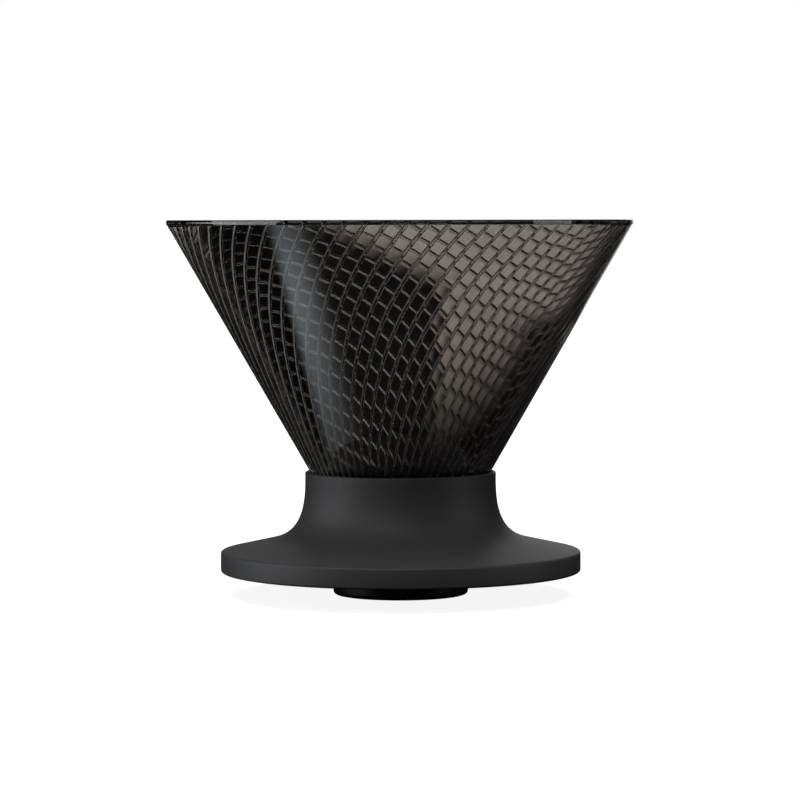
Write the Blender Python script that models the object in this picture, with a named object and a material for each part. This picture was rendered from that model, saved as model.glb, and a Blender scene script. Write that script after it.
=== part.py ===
"""Pour over dripper: a smoke-tinted 60 degree cone standing in a matte flared base.

The scene is in metres with +Z up. The origin is the centre of the lock ring's lower
face, which the dripper stands on when it isn't on a server. Outlines are lists of
(radius, height) points in millimetres, turned about the Z axis.
"""

import math

import bmesh
import bpy

MM = 0.001
GAP = 0.3

# Overall sizes
HEIGHT = 93.7
COLLAR_TOP_Z = 30.8
FLANGE_BOTTOM_Z = 5.8

# Cone
CONE_SLOPE = 0.574
CONE_RADIUS_AT_COLLAR = 22.67
CONE_WALL = 2.54
RIM_RADIUS = 58.25
RIM_BAND = 1.25
RIM_STEP = 0.1
RIM_LAND = 0.65
RIM_ROUND = 0.4
NECK_OUTER_RADIUS = 12.3
NECK_INNER_RADIUS = 10.0
NECK_BOTTOM_Z = 1.5

# Twisted ribs on the cone's inner wall: flat-topped ridges, with their corners as shares of the pitch
RIB_COUNT = 72
RIB_HEIGHT = 0.45
RIB_CORNERS = ((0.31, 0.0), (0.38, 1.0), (0.62, 1.0), (0.69, 0.0))
RIB_END_STEP = 0.15
RIB_RINGS = 7
TWIST_PER_MM = 0.46
TWIST_GAIN_AT_RIM = 0.436

# Base cover
COLLAR_RADIUS = 23.9
COLLAR_LIP_ROUND = 0.7
COLLAR_LIP_HEIGHT = 1.6
COVER_WALL = 1.5
WAIST_TOP_Z = 28.5
WAIST_END = (34.0, 13.35)
WAIST_DROP = 11.84
WAIST_RUN = 5.75
WAIST_RISE = 1.38
WAIST_STEPS = 8
WAIST_INNER_STEPS = 4
FLANGE_RADIUS = 45.1
FLANGE_EDGE_Z = 11.0
FLANGE_EDGE_TANGENT = 78
FLANGE_ROUND = 0.6
FLANGE_LIP = 2.0
FLANGE_INSIDE_Z = 9.3

# Base core
SEAT_WALL = 2.3
SEAT_TOP_Z = 25.0
CORE_BORE = 12.84
CORE_FOOT = ((17.5, 10.0), (20.0, 8.5), (22.5, 7.8))
PLATE_THICKNESS = 2.0
WASHER_RECESS = 1.4
GUSSET_COUNT = 8
GUSSET_THICKNESS = 1.6
GUSSET_ROOT = (14.2, 14.2)
GUSSET_TIP = (37.0, 8.4)
GUSSET_BOTTOM_Z = 7.0

# Rings
SEAL_TOP_Z = 28.3
RING_RADIUS = 16.9
RING_BORE = 12.9
RING_ROUND = 1.0
WASHER_INNER_RADIUS = 13.1
WASHER_THICKNESS = 1.1

CONE_SEGMENTS = len(RIB_CORNERS) * RIB_COUNT
COVER_SEGMENTS = 72
CORE_SEGMENTS = 48


def cone_outer(z):
    """Radius of the cone's outer wall at height z."""
    return CONE_RADIUS_AT_COLLAR + CONE_SLOPE * (z - COLLAR_TOP_Z)


def cone_height(radius):
    """Height at which the cone's outer wall has this radius."""
    return COLLAR_TOP_Z + (radius - CONE_RADIUS_AT_COLLAR) / CONE_SLOPE


NECK_TOP_Z = cone_height(NECK_OUTER_RADIUS)
THROAT_Z = cone_height(NECK_INNER_RADIUS + CONE_WALL)


def arc(centre, radius, start, end, steps=3):
    """Points on an arc from start to end, in degrees from +radius towards +Z."""
    points = []
    for i in range(steps + 1):
        angle = math.radians(start + (end - start) * i / steps)
        points.append((centre[0] + radius * math.cos(angle), centre[1] + radius * math.sin(angle)))
    return points


def bezier(p0, p1, p2, p3, steps):
    """Points on a cubic Bezier curve."""
    points = []
    for i in range(steps + 1):
        t = i / steps
        weights = ((1 - t) ** 3, 3 * t * (1 - t) ** 2, 3 * t * t * (1 - t), t ** 3)
        points.append(tuple(sum(w * p[k] for w, p in zip(weights, (p0, p1, p2, p3))) for k in (0, 1)))
    return points


def waist(inset, steps):
    """The concave flare from collar to flange, moved inwards and down by inset."""
    top = (COLLAR_RADIUS - inset, WAIST_TOP_Z)
    end = (WAIST_END[0] - inset * 0.3, WAIST_END[1] - inset)
    top_pull = (top[0], top[1] - WAIST_DROP - inset)
    end_pull = (end[0] - WAIST_RUN, end[1] + WAIST_RISE)
    return bezier(top, top_pull, end_pull, end, steps)


def material(name, colour, roughness, alpha=1.0, transmission=0.0):
    mat = bpy.data.materials.new(name)
    mat.use_nodes = True
    shader = mat.node_tree.nodes["Principled BSDF"]
    shader.inputs["Base Color"].default_value = (*colour, 1.0)
    shader.inputs["Roughness"].default_value = roughness
    shader.inputs["Metallic"].default_value = 0.0
    shader.inputs["Transmission Weight"].default_value = transmission
    shader.inputs["Alpha"].default_value = alpha
    return mat


def new_object(name, bm, mat=None):
    """Closes the bmesh into a mesh object with outward faces, in metres."""
    bmesh.ops.recalc_face_normals(bm, faces=bm.faces[:])
    bmesh.ops.scale(bm, vec=(MM, MM, MM), verts=bm.verts[:])
    mesh = bpy.data.meshes.new(name)
    bm.to_mesh(mesh)
    bm.free()
    mesh.shade_smooth()
    mesh.set_sharp_from_angle(angle=math.radians(30))
    if mat:
        mesh.materials.append(mat)
    obj = bpy.data.objects.new(name, mesh)
    bpy.context.scene.collection.objects.link(obj)
    return obj


def spin_outline(bm, outline, segments, closed):
    """Turns an outline about Z in bm, and returns the new faces' vertices."""
    first = [bm.verts.new((radius, 0.0, z)) for radius, z in outline]
    edges = [bm.edges.new(pair) for pair in zip(first, first[1:])]
    if closed:
        edges.append(bm.edges.new((first[-1], first[0])))
    before = set(bm.verts) - set(first)
    bmesh.ops.spin(
        bm, geom=first + edges, cent=(0, 0, 0), axis=(0, 0, 1),
        angle=math.tau, steps=segments, use_merge=True,
    )
    return [v for v in bm.verts if v not in before]


def turned(name, outline, segments, mat):
    """A solid ring: a closed outline turned about Z."""
    bm = bmesh.new()
    spin_outline(bm, outline, segments, closed=True)
    return new_object(name, bm, mat)


def twist(z):
    """Angle in degrees that a rib has turned by at height z, counted from the rim down."""
    span = HEIGHT - COLLAR_TOP_Z
    share = max(0.0, (z - COLLAR_TOP_Z) / span)
    down = HEIGHT - z
    gained = TWIST_GAIN_AT_RIM * span * (1 - share ** 3) / 3
    return -(TWIST_PER_MM * down + gained)


def rib_wall(verts):
    """Twists the inner wall's vertices and raises the ribs between the rim land and the throat."""
    pitch = math.tau / RIB_COUNT
    corners = len(RIB_CORNERS)
    for v in verts:
        radius = math.hypot(v.co.x, v.co.y)
        index = round(math.atan2(v.co.y, v.co.x) / pitch * corners)
        place, raised = RIB_CORNERS[index % corners]
        angle = (index // corners + place) * pitch + math.radians(twist(v.co.z))
        if THROAT_Z + RIB_END_STEP < v.co.z < HEIGHT - RIM_LAND - RIB_END_STEP / 2:
            radius -= RIB_HEIGHT * raised
        v.co.x = radius * math.cos(angle)
        v.co.y = radius * math.sin(angle)


def cone(mat):
    """The funnel: smooth outside with a proud rim band, ribbed inside, with a straight neck."""
    band_z = HEIGHT - RIM_BAND
    land_z = HEIGHT - RIM_LAND
    outer = [
        (NECK_OUTER_RADIUS, NECK_BOTTOM_Z),
        (NECK_OUTER_RADIUS, NECK_TOP_Z),
        (cone_outer(band_z), band_z),
        (RIM_RADIUS, band_z + RIM_STEP),
        (RIM_RADIUS, HEIGHT - RIM_ROUND),
        (RIM_RADIUS - RIM_ROUND, HEIGHT),
    ]
    ribs_top = land_z - RIB_END_STEP
    ribs_bottom = THROAT_Z + 2 * RIB_END_STEP
    inner = [(cone_outer(z) - CONE_WALL - RIB_HEIGHT, z) for z in (HEIGHT, land_z)]
    for i in range(RIB_RINGS + 1):
        z = ribs_top + (ribs_bottom - ribs_top) * i / RIB_RINGS
        inner.append((cone_outer(z) - CONE_WALL, z))
    inner.append((NECK_INNER_RADIUS, THROAT_Z))
    inner.append((NECK_INNER_RADIUS, NECK_BOTTOM_Z))

    bm = bmesh.new()
    spin_outline(bm, outer, CONE_SEGMENTS, closed=False)
    rib_wall(spin_outline(bm, inner, CONE_SEGMENTS, closed=False))
    open_edges = [e for e in bm.edges if e.is_boundary]
    for z in (HEIGHT, NECK_BOTTOM_Z):
        loop = [e for e in open_edges if all(abs(v.co.z - z) < GAP for v in e.verts)]
        bmesh.ops.bridge_loops(bm, edges=loop)
    return new_object("cone", bm, mat)


def base_cover(mat):
    """The matte shell: collar lip, concave waist and flange, open underneath."""
    lip_inner = cone_outer(COLLAR_TOP_Z) + GAP
    ledge_z = COLLAR_TOP_Z - COLLAR_LIP_HEIGHT
    lip_centre = (COLLAR_RADIUS - COLLAR_LIP_ROUND, COLLAR_TOP_Z - COLLAR_LIP_ROUND)
    edge_centre = (FLANGE_RADIUS - FLANGE_ROUND, FLANGE_EDGE_Z - FLANGE_ROUND)
    foot_centre = (FLANGE_RADIUS - FLANGE_ROUND, FLANGE_BOTTOM_Z + FLANGE_ROUND)
    lip_edge = FLANGE_RADIUS - FLANGE_LIP
    outline = [(lip_inner, COLLAR_TOP_Z)]
    outline += arc(lip_centre, COLLAR_LIP_ROUND, 90, 0, 2)
    outline += waist(0.0, WAIST_STEPS)
    outline += arc(edge_centre, FLANGE_ROUND, FLANGE_EDGE_TANGENT, 0, 2)
    outline += arc(foot_centre, FLANGE_ROUND, 0, -90, 2)
    outline += [(lip_edge, FLANGE_BOTTOM_Z), (lip_edge, FLANGE_INSIDE_Z)]
    outline += reversed(waist(COVER_WALL, WAIST_INNER_STEPS)[1:])
    outline += [
        (COLLAR_RADIUS - COVER_WALL, ledge_z),
        (cone_outer(ledge_z) + GAP, ledge_z),
    ]
    return turned("base_cover", outline, COVER_SEGMENTS, mat)


def gussets():
    """Radial stiffening webs between the core's tube and its plate, as a guide to join to it."""
    half = GUSSET_THICKNESS / 2
    recess_z = FLANGE_BOTTOM_Z + WASHER_RECESS
    side = [
        GUSSET_ROOT,
        GUSSET_TIP,
        (GUSSET_TIP[0], GUSSET_BOTTOM_Z),
        (RING_RADIUS + 1.0, GUSSET_BOTTOM_Z),
        (GUSSET_ROOT[0], recess_z + GAP),
    ]
    bm = bmesh.new()
    for i in range(GUSSET_COUNT):
        turn = math.tau * (i + 0.5) / GUSSET_COUNT
        rows = []
        for offset in (-half, half):
            row = []
            for radius, z in side:
                x = radius * math.cos(turn) - offset * math.sin(turn)
                y = radius * math.sin(turn) + offset * math.cos(turn)
                row.append(bm.verts.new((x, y, z)))
            rows.append(row)
            bm.faces.new(row)
        for j in range(len(side)):
            k = (j + 1) % len(side)
            bm.faces.new((rows[0][j], rows[0][k], rows[1][k], rows[1][j]))
    guide = new_object("gusset_guide", bm)
    guide.hide_render = True
    guide.display_type = "WIRE"
    return guide


def base_core(mat):
    """The rigid insert: conical seat, outlet tube with a washer recess, plate and gussets."""
    plate_top = FLANGE_BOTTOM_Z + PLATE_THICKNESS
    plate_edge = FLANGE_RADIUS - FLANGE_LIP - GAP
    recess_z = FLANGE_BOTTOM_Z + WASHER_RECESS
    seat_bottom = cone_height(CORE_BORE - GAP)
    seat_top = cone_outer(SEAT_TOP_Z) + GAP
    outline = [
        (seat_top, SEAT_TOP_Z),
        (seat_top + SEAT_WALL, SEAT_TOP_Z),
        (CORE_BORE + SEAT_WALL, seat_bottom),
        *CORE_FOOT,
        (plate_edge, plate_top),
        (plate_edge, FLANGE_BOTTOM_Z),
        (RING_RADIUS, FLANGE_BOTTOM_Z),
        (RING_RADIUS, recess_z),
        (CORE_BORE, recess_z),
        (CORE_BORE, seat_bottom),
    ]
    core = turned("base_core", outline, CORE_SEGMENTS, mat)
    join = core.modifiers.new("join_gussets", "BOOLEAN")
    join.operation = "UNION"
    join.solver = "EXACT"
    join.object = gussets()
    return core


def cone_seal(mat):
    """Soft wedge ring that fills the crack between the cone and the collar."""
    bottom_z = SEAT_TOP_Z + GAP
    outer = COLLAR_RADIUS - COVER_WALL - GAP
    outline = [
        (cone_outer(bottom_z) + GAP, bottom_z),
        (outer, bottom_z),
        (outer, SEAL_TOP_Z),
        (cone_outer(SEAL_TOP_Z) + GAP, SEAL_TOP_Z),
    ]
    return turned("cone_seal", outline, CORE_SEGMENTS, mat)


def ring_washer(mat):
    """Flat slip washer between the lock ring and the core."""
    outer = RING_RADIUS - GAP
    top = FLANGE_BOTTOM_Z + WASHER_THICKNESS
    outline = [
        (WASHER_INNER_RADIUS, FLANGE_BOTTOM_Z),
        (outer, FLANGE_BOTTOM_Z),
        (outer, top),
        (WASHER_INNER_RADIUS, top),
    ]
    return turned("ring_washer", outline, CORE_SEGMENTS, mat)


def lock_ring(mat):
    """The ring below the flange, with a rounded lower edge; it runs on the cone's neck."""
    top = FLANGE_BOTTOM_Z - GAP
    half = RING_ROUND / 2
    outline = [(RING_BORE, top), (RING_RADIUS - GAP, top), (RING_RADIUS, top - GAP)]
    outline += arc((RING_RADIUS - RING_ROUND, RING_ROUND), RING_ROUND, 0, -90)
    outline += arc((RING_BORE + half, half), half, -90, -180, 2)
    return turned("lock_ring", outline, CORE_SEGMENTS, mat)


def main():
    for obj in list(bpy.data.objects):
        bpy.data.objects.remove(obj, do_unlink=True)
    cone(material("smoke_clear", (0.10, 0.095, 0.09), 0.03, alpha=0.55, transmission=0.9))
    base_cover(material("matte_charcoal", (0.045, 0.045, 0.047), 0.6))
    base_core(material("black_insert", (0.012, 0.012, 0.013), 0.45))
    lock_ring(material("black_ring", (0.008, 0.008, 0.009), 0.4))
    cone_seal(material("seal_silicone", (0.02, 0.02, 0.02), 0.7))
    ring_washer(material("washer_silicone", (0.03, 0.03, 0.03), 0.7))


main()
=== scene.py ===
"""Looks of the pour over dripper: a smoke-tinted ribbed cone on a matte flared base."""

import math

import bpy
import numpy as np
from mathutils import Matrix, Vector

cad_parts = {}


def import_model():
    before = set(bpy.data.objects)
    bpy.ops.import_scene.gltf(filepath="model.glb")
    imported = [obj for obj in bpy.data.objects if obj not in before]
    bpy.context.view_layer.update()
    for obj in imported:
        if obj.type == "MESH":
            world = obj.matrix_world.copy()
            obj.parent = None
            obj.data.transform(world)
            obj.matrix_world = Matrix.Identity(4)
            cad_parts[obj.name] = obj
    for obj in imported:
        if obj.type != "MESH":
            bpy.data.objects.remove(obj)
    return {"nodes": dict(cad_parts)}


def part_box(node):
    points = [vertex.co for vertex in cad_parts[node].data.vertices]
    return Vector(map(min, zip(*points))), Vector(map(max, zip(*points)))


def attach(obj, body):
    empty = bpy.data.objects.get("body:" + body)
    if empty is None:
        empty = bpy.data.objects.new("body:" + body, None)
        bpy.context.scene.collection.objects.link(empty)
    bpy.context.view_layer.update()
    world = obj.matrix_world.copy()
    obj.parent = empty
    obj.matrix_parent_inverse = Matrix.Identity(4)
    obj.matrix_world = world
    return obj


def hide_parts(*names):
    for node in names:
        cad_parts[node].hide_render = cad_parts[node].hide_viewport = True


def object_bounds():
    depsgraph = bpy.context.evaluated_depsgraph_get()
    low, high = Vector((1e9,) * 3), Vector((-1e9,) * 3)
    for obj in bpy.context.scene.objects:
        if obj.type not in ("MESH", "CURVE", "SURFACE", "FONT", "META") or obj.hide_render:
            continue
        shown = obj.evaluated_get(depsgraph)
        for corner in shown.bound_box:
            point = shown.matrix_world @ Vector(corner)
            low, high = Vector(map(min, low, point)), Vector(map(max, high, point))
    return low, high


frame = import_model()
CAD_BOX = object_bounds()

MM = 0.001

# Places read from the frame
CONE_LOW, CONE_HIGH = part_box("cone")
COVER_LOW, COVER_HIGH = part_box("base_cover")
RING_LOW, RING_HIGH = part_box("lock_ring")
RIM_Z = CONE_HIGH[2]
RIM_RADIUS = CONE_HIGH[0]
NECK_BOTTOM_Z = CONE_LOW[2]
COLLAR_TOP_Z = COVER_HIGH[2]
FLANGE_BOTTOM_Z = COVER_LOW[2]
FLANGE_RADIUS = COVER_HIGH[0]
RING_RADIUS = RING_HIGH[0]
RING_TOP_Z = RING_HIGH[2]

# Cone, as in the CAD model
CONE_SLOPE = 0.574
CONE_RADIUS_AT_COLLAR = 22.67 * MM
CONE_WALL = 2.54 * MM
RIM_BAND = 1.25 * MM
RIM_LAND = 0.65 * MM
RIM_ROUND = 0.25 * MM
STEP_ROUND = 0.1 * MM
SUPPORT = 0.9 * MM
NECK_OUTER_RADIUS = 12.3 * MM
NECK_INNER_RADIUS = 10.0 * MM
NECK_BLEND = 0.4 * MM

# Base, as in the CAD model
GAP = 0.3 * MM
COLLAR_RADIUS = 23.9 * MM
COLLAR_FOOT_Z = 28.5 * MM
SEAT_SHOULDER_Z = 29.2 * MM
FLANGE_EDGE_Z = 11.0 * MM
FLANGE_INSIDE_Z = 9.3 * MM
LIP_ROUND = 0.42 * MM
EDGE_ROUND = 0.6 * MM
RING_BORE_RADIUS = 12.9 * MM

# Ribs: flat-topped ridges, as (share of the pitch, share of the height, frosting with painted light and
# shade).
# The third value is 1 where a flank is frosted and its tint painted lighter as painted light, -1 where the
# crest is painted dark as painted shade, and 0 where the wall is polished; the right flanks get less
# painted light.
RIB_COUNT = 72
RIB_HEIGHT_SHARE = 0.075
RIB_SECTION = (
    (0.310, 0.0, 0.0),
    (0.330, 0.0, 0.0),
    (0.345, 0.08, 0.5),
    (0.360, 0.30, 1.0),
    (0.375, 0.62, 1.0),
    (0.390, 0.90, 0.7),
    (0.405, 1.0, 0.0),
    (0.425, 1.0, -1.0),
    (0.515, 1.0, -1.0),
    (0.535, 1.0, 0.0),
    (0.550, 0.90, 0.3),
    (0.565, 0.62, 0.5),
    (0.580, 0.30, 0.5),
    (0.595, 0.08, 0.2),
    (0.610, 0.0, 0.0),
    (0.630, 0.0, 0.0),
)
RIB_RING_GAP = 1.5 * MM
TWIST_PER_M = 460.0
TWIST_GAIN_AT_RIM = 436.0


# ---------------------------------------------------------------- meshes

def cone_outer(z):
    """Radius of the cone's outer wall at height z."""
    return CONE_RADIUS_AT_COLLAR + CONE_SLOPE * (z - COLLAR_TOP_Z)


def cone_height(radius):
    """Height at which the cone's outer wall has this radius."""
    return COLLAR_TOP_Z + (radius - CONE_RADIUS_AT_COLLAR) / CONE_SLOPE


def arc(centre, radius, start, end, steps):
    """Points on an arc from start to end, in degrees from +radius towards +Z."""
    angles = np.radians(np.linspace(start, end, steps + 1))
    return [(centre[0] + radius * math.cos(a), centre[1] + radius * math.sin(a)) for a in angles]


def bezier(p0, p1, p2, p3, steps):
    """Points on a cubic Bezier curve."""
    points = []
    for t in np.linspace(0, 1, steps + 1):
        weights = ((1 - t) ** 3, 3 * t * (1 - t) ** 2, 3 * t * t * (1 - t), t ** 3)
        points.append(tuple(sum(w * p[k] for w, p in zip(weights, (p0, p1, p2, p3))) for k in (0, 1)))
    return points


class Rings:
    """A closed wall made of rings of points, each joined to the next by four-sided faces."""

    def __init__(self, count):
        self.count = count
        self.points = []
        self.shifts = []
        self.frosts_and_painted_lights = []

    def add(self, angles, radii, z, shift=0, frost_and_painted_light=0.0):
        """One ring; shift says how many places its points run ahead of the ring before, and the last
        argument is the rib frosting with painted light and shade at each point."""
        self.frosts_and_painted_lights.append(np.broadcast_to(frost_and_painted_light, angles.shape))
        radii = np.broadcast_to(radii, angles.shape)
        xy = np.stack([radii * np.cos(angles), radii * np.sin(angles)], axis=1)
        self.points.append(np.column_stack([xy, np.full(self.count, z)]))
        self.shifts.append(shift)

    def mesh(self, name, sharp_angle):
        """The closed mesh, with its rib frosting and painted light and shade as an attribute; the last
        ring joins the first.
        """
        points = np.concatenate(self.points)
        here = np.arange(self.count)
        ahead = (here + 1) % self.count
        faces = []
        total = len(self.points)
        for i in range(total):
            j = (i + 1) % total
            a, b = i * self.count, j * self.count
            there = (here + self.shifts[j]) % self.count
            beyond = (there + 1) % self.count
            faces.append(np.stack([a + here, a + ahead, b + beyond, b + there], axis=1))
        mesh = bpy.data.meshes.new(name)
        mesh.from_pydata(points.tolist(), [], np.concatenate(faces).tolist())
        mesh.update()
        mesh.shade_smooth()
        mesh.set_sharp_from_angle(angle=math.radians(sharp_angle))
        frost_and_painted_light = mesh.attributes.new("frost_and_painted_light", "FLOAT", "POINT")
        frost_and_painted_light.data.foreach_set("value", np.concatenate(self.frosts_and_painted_lights).astype(np.float32))
        return mesh


def add_object(mesh, mat):
    obj = bpy.data.objects.new(mesh.name, mesh)
    bpy.context.scene.collection.objects.link(obj)
    obj.data.materials.append(mat)
    return obj


def turned(name, outline, segments, mat, sharp_angle=40):
    """A ring-shaped solid: a closed outline of (radius, height) points turned about Z."""
    rings = Rings(segments)
    angles = np.arange(segments) * math.tau / segments
    for radius, z in outline:
        rings.add(angles, radius, z)
    return add_object(rings.mesh(name, sharp_angle), mat)


def twist(z):
    """Angle in degrees that a rib has turned by at height z, counted from the rim down."""
    span = RIM_Z - COLLAR_TOP_Z
    share = max(0.0, (z - COLLAR_TOP_Z) / span)
    gained = TWIST_GAIN_AT_RIM * span * (1 - share ** 3) / 3
    return -(TWIST_PER_M * (RIM_Z - z) + gained)


def rib_height(radius):
    """Height of the ribs where the inner wall has this radius."""
    return RIB_HEIGHT_SHARE * radius * math.tau / RIB_COUNT


def ribbed_cone(mat):
    """The funnel: polished outside, twisted ribs inside, plain rim band and straight neck."""
    per_rib = len(RIB_SECTION)
    count = RIB_COUNT * per_rib
    even = np.arange(count) * math.tau / count
    # The third column is the rib frosting with painted light on the flanks and painted shade on the
    # crests.
    places, heights, frosts_and_painted_lights = np.array(RIB_SECTION).T
    heights = np.tile(heights, RIB_COUNT)
    frosts_and_painted_lights = np.tile(frosts_and_painted_lights, RIB_COUNT)
    ribbed = (np.arange(RIB_COUNT)[:, None] + places).reshape(-1) * math.tau / RIB_COUNT
    neck_top = cone_height(NECK_OUTER_RADIUS)
    throat = cone_height(NECK_INNER_RADIUS + CONE_WALL)
    band = RIM_Z - RIM_BAND
    land = RIM_Z - RIM_LAND

    rings = Rings(count)
    rim_inner = cone_outer(RIM_Z) - CONE_WALL
    rim_inner -= rib_height(rim_inner)
    outline = [(NECK_OUTER_RADIUS, NECK_BOTTOM_Z), (NECK_OUTER_RADIUS, neck_top - NECK_BLEND)]
    wall_heights = (neck_top + NECK_BLEND, neck_top + SUPPORT, band - SUPPORT, band)
    outline += [(cone_outer(z), z) for z in wall_heights]
    outline += arc((RIM_RADIUS - STEP_ROUND, band + STEP_ROUND), STEP_ROUND, -60, 0, 3)
    outline += arc((RIM_RADIUS - RIM_ROUND, RIM_Z - RIM_ROUND), RIM_ROUND, 0, 90, 4)
    outline += arc((rim_inner + RIM_ROUND, RIM_Z - RIM_ROUND), RIM_ROUND, 90, 150, 3)
    for radius, z in outline:
        rings.add(even, radius, z)
    ridge = rib_height(cone_outer(land) - CONE_WALL)
    rings.add(ribbed + math.radians(twist(land)), cone_outer(land) - CONE_WALL - ridge, land)
    ribs_top = land - 0.12 * MM
    ribs_bottom = throat + NECK_BLEND
    for z in np.linspace(ribs_top, ribs_bottom, round((ribs_top - ribs_bottom) / RIB_RING_GAP)):
        wall = cone_outer(z) - CONE_WALL
        radii = wall - rib_height(wall) * heights
        rings.add(ribbed + math.radians(twist(z)), radii, z, frost_and_painted_light=frosts_and_painted_lights)
    turned_by = round(math.radians(twist(throat)) / (math.tau / count))
    rings.add(even, NECK_INNER_RADIUS, throat, shift=-turned_by)
    rings.add(even, NECK_INNER_RADIUS, NECK_BOTTOM_Z)
    return add_object(rings.mesh("smoke_cone", 30), mat)


# ---------------------------------------------------------------- materials

FROST_ROUGHNESS = 0.36
# How far the rib crests are painted dark: painted shade.
CREST_PAINTED_SHADE = 0.7


def new_material(name):
    mat = bpy.data.materials.new(name)
    mat.use_nodes = True
    return mat, mat.node_tree, mat.node_tree.nodes["Principled BSDF"]


def noise(tree, scale, detail=4.0, stretch=(1, 1, 1)):
    """Noise in object space, in metres."""
    coord = tree.nodes.new("ShaderNodeTexCoord")
    mapping = tree.nodes.new("ShaderNodeMapping")
    mapping.inputs["Scale"].default_value = stretch
    texture = tree.nodes.new("ShaderNodeTexNoise")
    texture.inputs["Scale"].default_value = scale
    texture.inputs["Detail"].default_value = detail
    tree.links.new(coord.outputs["Object"], mapping.inputs["Vector"])
    tree.links.new(mapping.outputs["Vector"], texture.inputs["Vector"])
    return texture.outputs["Fac"]


def ranged(tree, value, low, high):
    """value, from 0 to 1, spread over low to high."""
    node = tree.nodes.new("ShaderNodeMapRange")
    node.inputs["To Min"].default_value = low
    node.inputs["To Max"].default_value = high
    tree.links.new(value, node.inputs["Value"])
    return node.outputs["Result"]


def maths(tree, operation, *values):
    """One Math node; each value is a number or another node's output."""
    node = tree.nodes.new("ShaderNodeMath")
    node.operation = operation
    for place, value in enumerate(values):
        if isinstance(value, (int, float)):
            node.inputs[place].default_value = value
        else:
            tree.links.new(value, node.inputs[place])
    return node.outputs[0]


def mixed(tree, factor, first, second):
    """One colour mixed into another; first is a colour or another node's output."""
    node = tree.nodes.new("ShaderNodeMix")
    node.data_type = "RGBA"
    if isinstance(first, tuple):
        node.inputs["A"].default_value = (*first, 1.0)
    else:
        tree.links.new(first, node.inputs["A"])
    node.inputs["B"].default_value = (*second, 1.0)
    tree.links.new(factor, node.inputs["Factor"])
    return node.outputs["Result"]


def bumped(tree, shader, height, distance, strength):
    node = tree.nodes.new("ShaderNodeBump")
    node.inputs["Distance"].default_value = distance
    node.inputs["Strength"].default_value = strength
    tree.links.new(height, node.inputs["Height"])
    tree.links.new(node.outputs["Normal"], shader.inputs["Normal"])


def smoke_clear():
    """Clear moulded resin with a warm smoke tint; the ribs have frosted flanks with a tint painted lighter
    as painted light, and crests painted near-black as painted shade.
    """
    mat, tree, shader = new_material("smoke_clear")
    shader.inputs["Transmission Weight"].default_value = 1.0
    shader.inputs["IOR"].default_value = 1.54
    attribute = tree.nodes.new("ShaderNodeAttribute")
    attribute.attribute_name = "frost_and_painted_light"
    frost_and_painted_light = attribute.outputs["Fac"]
    # Masks for the painted light on the frosted flanks and the painted shade on the crests.
    frosted_and_painted_light = maths(tree, "MAXIMUM", frost_and_painted_light, 0.0)
    painted_dark_crest = maths(tree, "MAXIMUM", maths(tree, "MULTIPLY", frost_and_painted_light, -CREST_PAINTED_SHADE), 0.0)
    flow = noise(tree, 60.0, 2.0, (1, 1, 0.25))
    tint = mixed(tree, flow, (0.405, 0.382, 0.355), (0.465, 0.442, 0.411))
    # Painted light: the frosted flanks' tint is whitened; painted shade: the crests' tint goes near-black.
    tint = mixed(tree, frosted_and_painted_light, tint, (1.0, 0.98, 0.95))
    tree.links.new(mixed(tree, painted_dark_crest, tint, (0.02, 0.018, 0.016)), shader.inputs["Base Color"])
    wavy = ranged(tree, noise(tree, 90.0, 3.0), 0.0, 0.035)
    tree.links.new(maths(tree, "MULTIPLY_ADD", frosted_and_painted_light, FROST_ROUGHNESS, wavy), shader.inputs["Roughness"])
    return mat


def matte_charcoal():
    """Fine-grained matte moulding."""
    mat, tree, shader = new_material("matte_charcoal")
    charcoal = mixed(tree, noise(tree, 140.0, 5.0), (0.030, 0.030, 0.0315), (0.038, 0.038, 0.040))
    tree.links.new(charcoal, shader.inputs["Base Color"])
    grain = noise(tree, 5200.0, 2.0)
    tree.links.new(ranged(tree, grain, 0.50, 0.66), shader.inputs["Roughness"])
    bumped(tree, shader, grain, 0.00004, 0.35)
    return mat


def satin_black(name, colour, roughness):
    """Moulded black plastic with a faint satin grain."""
    mat, tree, shader = new_material(name)
    lighter = tuple(c * 1.5 for c in colour)
    tree.links.new(mixed(tree, noise(tree, 200.0), colour, lighter), shader.inputs["Base Color"])
    grain = noise(tree, 3800.0, 2.0)
    tree.links.new(ranged(tree, grain, roughness - 0.08, roughness + 0.08), shader.inputs["Roughness"])
    shader.inputs["Specular IOR Level"].default_value = 0.25
    bumped(tree, shader, grain, 0.00003, 0.3)
    return mat


def soft_silicone(name, colour):
    """Soft dark silicone with a dusty, uneven sheen."""
    mat, tree, shader = new_material(name)
    lighter = tuple(c * 1.6 for c in colour)
    tree.links.new(mixed(tree, noise(tree, 400.0), colour, lighter), shader.inputs["Base Color"])
    tree.links.new(ranged(tree, noise(tree, 900.0), 0.6, 0.8), shader.inputs["Roughness"])
    bumped(tree, shader, noise(tree, 2600.0), 0.00003, 0.3)
    return mat


# ---------------------------------------------------------------- pieces

def waist():
    """The concave flare from the collar to the flange."""
    return bezier(
        (COLLAR_RADIUS, COLLAR_FOOT_Z),
        (COLLAR_RADIUS, 16.66 * MM),
        (28.25 * MM, 14.73 * MM),
        (34.0 * MM, 13.35 * MM),
        40,
    )


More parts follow.
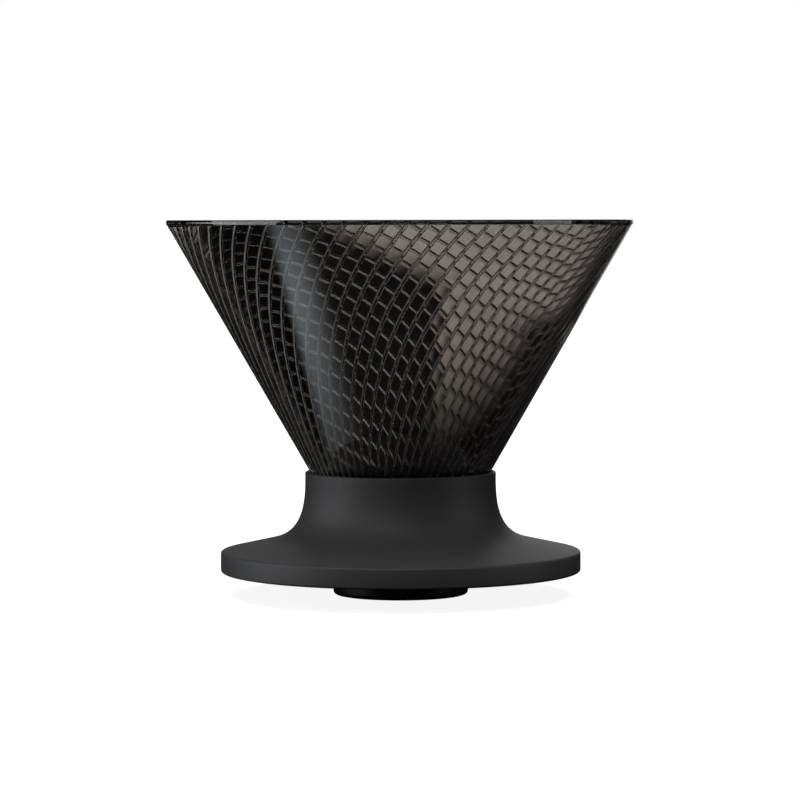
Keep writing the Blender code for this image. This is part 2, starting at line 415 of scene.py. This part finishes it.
def fine_cover(mat):
    """The matte shell with its rounded lip and flange edges."""
    lip_inner = cone_outer(COLLAR_TOP_Z) + GAP
    outline = arc((lip_inner + 0.25 * MM, COLLAR_TOP_Z - 0.25 * MM), 0.25 * MM, 150, 90, 3)
    outline += arc((COLLAR_RADIUS - LIP_ROUND, COLLAR_TOP_Z - LIP_ROUND), LIP_ROUND, 90, 0, 6)
    outline += waist()
    outline += [(FLANGE_RADIUS - 1.6 * MM, FLANGE_EDGE_Z + 0.24 * MM)]
    edge_centre = FLANGE_RADIUS - EDGE_ROUND
    outline += arc((edge_centre, FLANGE_EDGE_Z - EDGE_ROUND), EDGE_ROUND, 78, 0, 6)
    outline += arc((edge_centre, FLANGE_BOTTOM_Z + EDGE_ROUND), EDGE_ROUND, 0, -90, 6)
    lip = FLANGE_RADIUS - 2.0 * MM
    outline += [(lip, FLANGE_BOTTOM_Z), (lip, FLANGE_INSIDE_Z)]
    outline += [(33.5 * MM, 11.85 * MM), (25.8 * MM, 15.7 * MM), (23.3 * MM, 20.5 * MM)]
    outline += [(22.4 * MM, SEAT_SHOULDER_Z), (cone_outer(SEAT_SHOULDER_Z) + GAP, SEAT_SHOULDER_Z)]
    return turned("matte_cover", outline, 256, mat)


def fine_ring(mat):
    """The lock ring with its rounded lower edge."""
    outline = [(RING_BORE_RADIUS, RING_TOP_Z)]
    outline += arc((RING_RADIUS - 0.3 * MM, RING_TOP_Z - 0.3 * MM), 0.3 * MM, 90, 0, 3)
    outline += arc((RING_RADIUS - 1.0 * MM, RING_LOW[2] + 1.0 * MM), 1.0 * MM, 0, -90, 8)
    bore_round = 0.5 * MM
    outline += arc((RING_BORE_RADIUS + bore_round, RING_LOW[2] + bore_round), bore_round, -90, -180, 5)
    return turned("rounded_lock_ring", outline, 192, mat)


def build_pieces():
    cone = ribbed_cone(smoke_clear())
    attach(cone, "cone")
    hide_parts("cone")

    cover = fine_cover(matte_charcoal())
    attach(cover, "base")
    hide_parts("base_cover")

    ring = fine_ring(satin_black("black_ring", (0.004, 0.004, 0.0045), 0.42))
    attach(ring, "lock_ring")
    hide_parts("lock_ring")

    kept = {
        "base_core": satin_black("black_insert", (0.010, 0.010, 0.011), 0.42),
        "cone_seal": soft_silicone("seal_silicone", (0.014, 0.014, 0.014)),
        "ring_washer": soft_silicone("washer_silicone", (0.02, 0.02, 0.02)),
    }
    for node, mat in kept.items():
        for place in frame["nodes"][node].material_slots:
            place.material = mat


# ---------------------------------------------------------------- studio

CAMERA_DISTANCE = 0.84
CAMERA_PITCH = 3.07
CAMERA_ROLL = 0.12
FLOOR_HALF = 30.0
FLOOR_GAP = 0.2 * MM

# Cards: centre, size, turn, colour, strength, shares of width and height that fade, seen through resin
CARDS = {
    "back_right": (
        (0.0979, 0.35, 0.1412), (0.24, 0.20), (90, 23, 0),
        (1.0, 0.99, 0.97), 1.30, ((0.12, 0.40), (0.06, 0.3)), True,
    ),
    "back_low": (
        (0.0470, 0.36, 0.0380), (0.064, 0.068), (90, 0, 0),
        (1.0, 0.98, 0.95), 1.05, ((0.10, 0.50), (0.85, 0.0)), True,
    ),
    "left_floor": (
        (-0.076, -0.050, 0.001), (0.130, 0.062), (0, 0, 39),
        (0.86, 0.94, 1.0), 1.9, ((0.4, 0.6), (0.65, 0.3)), False,
    ),
    "back_top": (
        (0.0, 0.9, 0.35), (0.5, 0.5), (70, 0, 0),
        (1.0, 1.0, 1.0), 1.2, ((0.5, 0.5), (0.3, 0.3)), False,
    ),
    "rim_left": (
        (-0.6, 0.0, 0.10), (0.05, 0.9), (0, 90, 0),
        (0.9, 0.94, 1.0), 5.0, ((0.3, 0.3), (0.5, 0.5)), False,
    ),
}

# What the clear cone's ribs gather light from: direction, where its soft edge starts and ends, level
GLOWS = (
    ((0.0, -0.5, -0.87), 0.60, 0.90, 0.18),
    ((0.0, 0.4, -0.92), 0.70, 0.92, 0.04),
    ((-0.85, -0.5, -0.1), 0.60, 0.90, 0.30),
    ((0.0, -1.0, 0.0), 0.50, 0.85, 0.15),
)


def faded(tree, place, low, high):
    """1 along the middle of place and 0 at its ends, fading over the shares low and high."""
    levels = []
    for start, end in ((0.0, low), (1.0, 1.0 - high)):
        if start == end:
            levels.append(1.0)
            continue
        ramp = tree.nodes.new("ShaderNodeMapRange")
        ramp.interpolation_type = "SMOOTHSTEP"
        ramp.inputs["From Min"].default_value = start
        ramp.inputs["From Max"].default_value = end
        tree.links.new(place, ramp.inputs["Value"])
        levels.append(ramp.outputs["Result"])
    return maths(tree, "MULTIPLY", *levels)


def emission(name, colour, strength, soft):
    """A light card's surface; soft has the shares of its width and height over which it fades."""
    mat = bpy.data.materials.new(name)
    mat.use_nodes = True
    tree = mat.node_tree
    tree.nodes.clear()
    out = tree.nodes.new("ShaderNodeOutputMaterial")
    glow = tree.nodes.new("ShaderNodeEmission")
    glow.inputs["Color"].default_value = (*colour, 1.0)
    glow.inputs["Strength"].default_value = strength
    coord = tree.nodes.new("ShaderNodeTexCoord")
    split = tree.nodes.new("ShaderNodeSeparateXYZ")
    tree.links.new(coord.outputs["Generated"], split.inputs[0])
    level = 1.0
    for axis, (low, high) in zip("XY", soft):
        level = maths(tree, "MULTIPLY", faded(tree, split.outputs[axis], low, high), level)
    edge = tree.nodes.new("ShaderNodeMixShader")
    clear = tree.nodes.new("ShaderNodeBsdfTransparent")
    tree.links.new(level, edge.inputs[0])
    tree.links.new(clear.outputs[0], edge.inputs[1])
    tree.links.new(glow.outputs["Emission"], edge.inputs[2])
    tree.links.new(edge.outputs[0], out.inputs["Surface"])
    return mat


def flat(name, half_w, half_h):
    """A level rectangle."""
    mesh = bpy.data.meshes.new(name)
    corners = [(-half_w, -half_h, 0), (half_w, -half_h, 0), (half_w, half_h, 0), (-half_w, half_h, 0)]
    mesh.from_pydata(corners, [], [(0, 1, 2, 3)])
    return mesh


def card(name, centre, size, turn, colour, strength, soft, through):
    """A flat soft-edged light card for reflections, and for see-through surfaces if through is set.

    It faces up before it is turned, in degrees."""
    obj = add_object(flat(name, size[0] / 2, size[1] / 2), emission(name, colour, strength, soft))
    obj.location = centre
    obj.rotation_euler = [math.radians(angle) for angle in turn]
    obj.visible_camera = False
    obj.visible_diffuse = False
    obj.visible_shadow = False
    obj.visible_transmission = through


def area_light(name, place, target, size, watts, colour=(1, 1, 1)):
    data = bpy.data.lights.new(name, "AREA")
    data.shape = "RECTANGLE"
    data.size, data.size_y = size
    data.energy = watts
    data.color = colour
    obj = bpy.data.objects.new(name, data)
    bpy.context.scene.collection.objects.link(obj)
    obj.location = place
    obj.rotation_euler = (Vector(target) - Vector(place)).to_track_quat("-Z", "Y").to_euler()
    obj.visible_camera = False
    obj.visible_transmission = False


def floor():
    """Pale floor that glows a little, so that the shadow on it stays faint.

    Only the camera and shadows meet it: reflections and see-through surfaces don't show it."""
    mat, _, shader = new_material("pale_floor")
    shader.inputs["Base Color"].default_value = (0.24, 0.24, 0.24, 1.0)
    shader.inputs["Roughness"].default_value = 0.9
    shader.inputs["Specular IOR Level"].default_value = 0.0
    shader.inputs["Emission Color"].default_value = (1.0, 1.0, 1.0, 1.0)
    shader.inputs["Emission Strength"].default_value = 0.90
    obj = add_object(flat("floor", FLOOR_HALF, FLOOR_HALF), mat)
    obj.location.z = CAD_BOX[0][2] - FLOOR_GAP
    obj.visible_glossy = False
    obj.visible_transmission = False
    obj.visible_diffuse = False


def lobe(tree, direction, toward, start, end, strength, brighter):
    """Light from around one direction, or what is there already where that is brighter."""
    along = tree.nodes.new("ShaderNodeVectorMath")
    along.operation = "DOT_PRODUCT"
    along.inputs[1].default_value = toward
    tree.links.new(direction, along.inputs[0])
    soft = tree.nodes.new("ShaderNodeMapRange")
    soft.interpolation_type = "SMOOTHSTEP"
    soft.inputs["From Min"].default_value = start
    soft.inputs["From Max"].default_value = end
    soft.inputs["To Max"].default_value = strength
    tree.links.new(along.outputs["Value"], soft.inputs["Value"])
    if brighter is None:
        return soft.outputs["Result"]
    return maths(tree, "MAXIMUM", brighter, soft.outputs["Result"])


def world():
    """White for the camera, dark for reflections and bounced light, GLOWS for rays through resin."""
    surroundings = bpy.data.worlds.new("studio")
    bpy.context.scene.world = surroundings
    surroundings.use_nodes = True
    tree = surroundings.node_tree
    tree.nodes.clear()
    out = tree.nodes.new("ShaderNodeOutputWorld")
    path = tree.nodes.new("ShaderNodeLightPath")
    coord = tree.nodes.new("ShaderNodeTexCoord")
    level = None
    for toward, start, end, strength in GLOWS:
        level = lobe(tree, coord.outputs["Generated"], toward, start, end, strength, level)
    glow = mixed(tree, level, (0.005, 0.004, 0.004), (1.0, 0.97, 0.93))
    studio = tree.nodes.new("ShaderNodeBackground")
    tree.links.new(glow, studio.inputs["Color"])
    dark = tree.nodes.new("ShaderNodeBackground")
    dark.inputs["Color"].default_value = (0.012, 0.012, 0.013, 1.0)
    white = tree.nodes.new("ShaderNodeBackground")
    white.inputs["Color"].default_value = (1.0, 1.0, 1.0, 1.0)
    through = tree.nodes.new("ShaderNodeMixShader")
    tree.links.new(path.outputs["Is Transmission Ray"], through.inputs["Fac"])
    tree.links.new(dark.outputs[0], through.inputs[1])
    tree.links.new(studio.outputs[0], through.inputs[2])
    mix = tree.nodes.new("ShaderNodeMixShader")
    tree.links.new(path.outputs["Is Camera Ray"], mix.inputs["Fac"])
    tree.links.new(through.outputs[0], mix.inputs[1])
    tree.links.new(white.outputs[0], mix.inputs[2])
    tree.links.new(mix.outputs[0], out.inputs["Surface"])


def sun(strength, spread):
    """Even soft light from above, kept out of reflections."""
    data = bpy.data.lights.new("sky", "SUN")
    data.energy = strength
    data.angle = math.radians(spread)
    obj = bpy.data.objects.new("sky", data)
    bpy.context.scene.collection.objects.link(obj)
    obj.visible_glossy = False
    obj.visible_transmission = False


def lights():
    sun(5.4, 64)
    area_light("key_left", (-0.9, -0.15, 0.20), (0, 0, 0.02), (0.7, 0.5), 3.0, (0.99, 0.99, 1.0))
    area_light("front_top", (-0.25, -0.7, 0.55), (0, 0, 0.02), (0.6, 0.4), 1.5)
    area_light("fill_right", (0.9, -0.2, 0.25), (0, 0, 0.02), (0.4, 0.5), 1.1, (1.0, 0.99, 0.97))


def camera():
    """Level with the rim, looking slightly down."""
    data = bpy.data.cameras.new("camera")
    data.lens = 151.2
    data.sensor_width = 36.0
    obj = bpy.data.objects.new("camera", data)
    bpy.context.scene.collection.objects.link(obj)
    obj.location = (0.0, -CAMERA_DISTANCE, RIM_Z)
    obj.rotation_euler = (math.radians(90 - CAMERA_PITCH), math.radians(CAMERA_ROLL), 0.0)
    bpy.context.scene.camera = obj


def render_look():
    scene = bpy.context.scene
    scene.view_settings.view_transform = "Standard"
    scene.cycles.max_bounces = 24
    scene.cycles.transmission_bounces = 24
    scene.cycles.glossy_bounces = 12
    scene.cycles.caustics_reflective = False
    scene.cycles.caustics_refractive = False


build_pieces()
floor()
world()
lights()
for title, values in CARDS.items():
    card(title, *values)
camera()
render_look()
